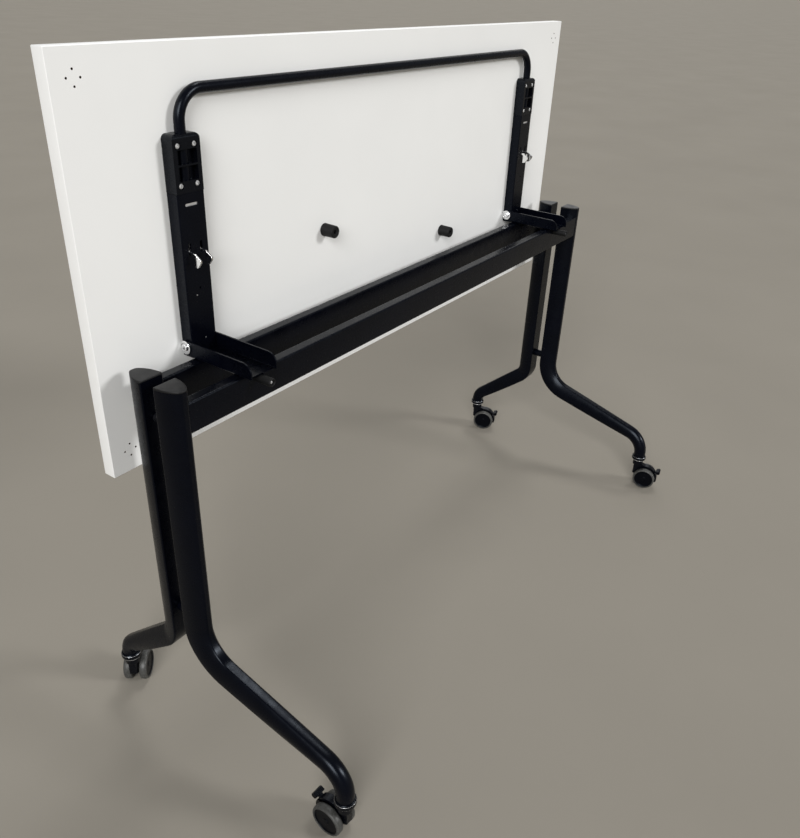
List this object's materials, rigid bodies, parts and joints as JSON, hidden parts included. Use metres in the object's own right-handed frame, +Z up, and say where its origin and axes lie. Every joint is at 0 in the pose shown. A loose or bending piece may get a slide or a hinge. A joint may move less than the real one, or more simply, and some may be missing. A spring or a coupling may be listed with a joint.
{
  "type": "flip top training table",
  "caption": "Long table whose white top flips upright for nesting, released by a sprung bent bar, on black twin beams, paired bent legs and braked twin-wheel casters.",
  "frame": {"origin": "on the floor, under the middle of the table's box with the top flipped upright", "axes": "+X along the table; +Y from the release bar side through the upright top; +Z up"},
  "size_m": [1.4, 0.6402, 1.1535],
  "materials": {
    "white_board": "white melamine faced board with a matching edge band, low sheen",
    "black_coating": "satin black powder coat",
    "black_plastic": "moulded black plastic with a fine grain",
    "black_rubber": "dull black rubber",
    "grey_tyre": "smooth grey tread on a plastic core",
    "zinc_steel": "zinc plated steel",
    "bright_chrome": "bright plated steel"
  },
  "bodies": {
    "frame": {"front_beam": "black_coating", "rear_beam": "black_coating", "left_upper_leg_tie": "zinc_steel", "left_lower_leg_spacer": "black_coating", "left_front_leg": "black_coating", "left_front_leg_cap": "black_plastic", "left_rear_leg": "black_coating", "left_rear_leg_cap": "black_plastic", "left_support_bracket": "black_coating", "left_pivot_bolt": "bright_chrome", "left_pivot_nut": "zinc_steel", "left_nesting_bumper": "black_rubber", "right_upper_leg_tie": "zinc_steel", "right_lower_leg_spacer": "black_coating", "right_front_leg": "black_coating", "right_front_leg_cap": "black_plastic", "right_rear_leg": "black_coating", "right_rear_leg_cap": "black_plastic", "right_support_bracket": "black_coating", "right_pivot_bolt": "bright_chrome", "right_pivot_nut": "zinc_steel", "right_nesting_bumper": "black_rubber", "left_front_caster_stem": "zinc_steel", "left_rear_caster_stem": "zinc_steel", "right_front_caster_stem": "zinc_steel", "right_rear_caster_stem": "zinc_steel"},
    "top": {"table_top": "white_board", "left_flip_arm": "black_coating", "left_grip_block": "black_plastic", "left_return_spring": "zinc_steel", "left_top_bumper": "black_rubber", "right_flip_arm": "black_coating", "right_grip_block": "black_plastic", "right_return_spring": "zinc_steel", "right_top_bumper": "black_rubber"},
    "release": {"release_bar": "black_coating", "left_pull_rod": "zinc_steel", "left_latch_hook": "zinc_steel", "right_pull_rod": "zinc_steel", "right_latch_hook": "zinc_steel"},
    "left_front_swivel": {"left_front_caster_hood": "black_plastic", "left_front_caster_axle": "zinc_steel"},
    "left_front_left_wheel": {"left_front_caster_left_wheel": "grey_tyre"},
    "left_front_right_wheel": {"left_front_caster_right_wheel": "grey_tyre"},
    "left_front_brake": {"left_front_brake_lever": "black_plastic"},
    "left_rear_swivel": {"left_rear_caster_hood": "black_plastic", "left_rear_caster_axle": "zinc_steel"},
    "left_rear_left_wheel": {"left_rear_caster_left_wheel": "grey_tyre"},
    "left_rear_right_wheel": {"left_rear_caster_right_wheel": "grey_tyre"},
    "left_rear_brake": {"left_rear_brake_lever": "black_plastic"},
    "right_front_swivel": {"right_front_caster_hood": "black_plastic", "right_front_caster_axle": "zinc_steel"},
    "right_front_left_wheel": {"right_front_caster_left_wheel": "grey_tyre"},
    "right_front_right_wheel": {"right_front_caster_right_wheel": "grey_tyre"},
    "right_front_brake": {"right_front_brake_lever": "black_plastic"},
    "right_rear_swivel": {"right_rear_caster_hood": "black_plastic", "right_rear_caster_axle": "zinc_steel"},
    "right_rear_left_wheel": {"right_rear_caster_left_wheel": "grey_tyre"},
    "right_rear_right_wheel": {"right_rear_caster_right_wheel": "grey_tyre"},
    "right_rear_brake": {"right_rear_brake_lever": "black_plastic"}
  },
  "joints": [
    {"name": "top_flip", "type": "hinge", "parent": "frame", "child": "top", "pos_m": [0, 0.15225, 0.7235], "axis": [1, 0, 0], "range_deg": [0, 90]},
    {"name": "release_pull", "type": "slide", "parent": "top", "child": "release", "axis": [0, 0, 1], "range_m": [0, 0.012], "stiffness_N_per_m": 800, "springref_m": -0.01, "deforming": ["left_return_spring", "right_return_spring"]},
    {"name": "left_front_caster_turn", "type": "hinge", "parent": "frame", "child": "left_front_swivel", "pos_m": [-0.6576, -0.25405, 0.08], "axis": [0, 0, 1], "continuous": true},
    {"name": "left_front_left_wheel_roll", "type": "hinge", "parent": "left_front_swivel", "child": "left_front_left_wheel", "pos_m": [-0.65673, -0.22907, 0.02963], "axis": [-0.9994, 0.0349, 0], "continuous": true},
    {"name": "left_front_right_wheel_roll", "type": "hinge", "parent": "left_front_swivel", "child": "left_front_right_wheel", "pos_m": [-0.65673, -0.22907, 0.02963], "axis": [-0.9994, 0.0349, 0], "continuous": true},
    {"name": "left_front_brake_press", "type": "hinge", "parent": "left_front_swivel", "child": "left_front_brake", "pos_m": [-0.65601, -0.2084, 0.04699], "axis": [-0.9994, 0.0349, 0], "range_deg": [0, 20]},
    {"name": "left_rear_caster_turn", "type": "hinge", "parent": "frame", "child": "left_rear_swivel", "pos_m": [-0.6576, 0.27105, 0.08], "axis": [0, 0, 1], "continuous": true},
    {"name": "left_rear_left_wheel_roll", "type": "hinge", "parent": "left_rear_swivel", "child": "left_rear_left_wheel", "pos_m": [-0.63738, 0.28574, 0.02963], "axis": [-0.5878, 0.809, 0], "continuous": true},
    {"name": "left_rear_right_wheel_roll", "type": "hinge", "parent": "left_rear_swivel", "child": "left_rear_right_wheel", "pos_m": [-0.63738, 0.28574, 0.02963], "axis": [-0.5878, 0.809, 0], "continuous": true},
    {"name": "left_rear_brake_press", "type": "hinge", "parent": "left_rear_swivel", "child": "left_rear_brake", "pos_m": [-0.62064, 0.2979, 0.04699], "axis": [-0.5878, 0.809, 0], "range_deg": [0, 20]},
    {"name": "right_front_caster_turn", "type": "hinge", "parent": "frame", "child": "right_front_swivel", "pos_m": [0.6576, -0.25405, 0.08], "axis": [0, 0, 1], "continuous": true},
    {"name": "right_front_left_wheel_roll", "type": "hinge", "parent": "right_front_swivel", "child": "right_front_left_wheel", "pos_m": [0.6628, -0.27851, 0.02963], "axis": [0.9781, 0.2079, 0], "continuous": true},
    {"name": "right_front_right_wheel_roll", "type": "hinge", "parent": "right_front_swivel", "child": "right_front_right_wheel", "pos_m": [0.6628, -0.27851, 0.02963], "axis": [0.9781, 0.2079, 0], "continuous": true},
    {"name": "right_front_brake_press", "type": "hinge", "parent": "right_front_swivel", "child": "right_front_brake", "pos_m": [0.6671, -0.29874, 0.04699], "axis": [0.9781, 0.2079, 0], "range_deg": [0, 20]},
    {"name": "right_rear_caster_turn", "type": "hinge", "parent": "frame", "child": "right_rear_swivel", "pos_m": [0.6576, 0.27105, 0.08], "axis": [0, 0, 1], "continuous": true},
    {"name": "right_rear_left_wheel_roll", "type": "hinge", "parent": "right_rear_swivel", "child": "right_rear_left_wheel", "pos_m": [0.66615, 0.24755, 0.02963], "axis": [0.9397, 0.342, 0], "continuous": true},
    {"name": "right_rear_right_wheel_roll", "type": "hinge", "parent": "right_rear_swivel", "child": "right_rear_right_wheel", "pos_m": [0.66615, 0.24755, 0.02963], "axis": [0.9397, 0.342, 0], "continuous": true},
    {"name": "right_rear_brake_press", "type": "hinge", "parent": "right_rear_swivel", "child": "right_rear_brake", "pos_m": [0.67322, 0.22812, 0.04699], "axis": [0.9397, 0.342, 0], "range_deg": [0, 20]}
  ]
}
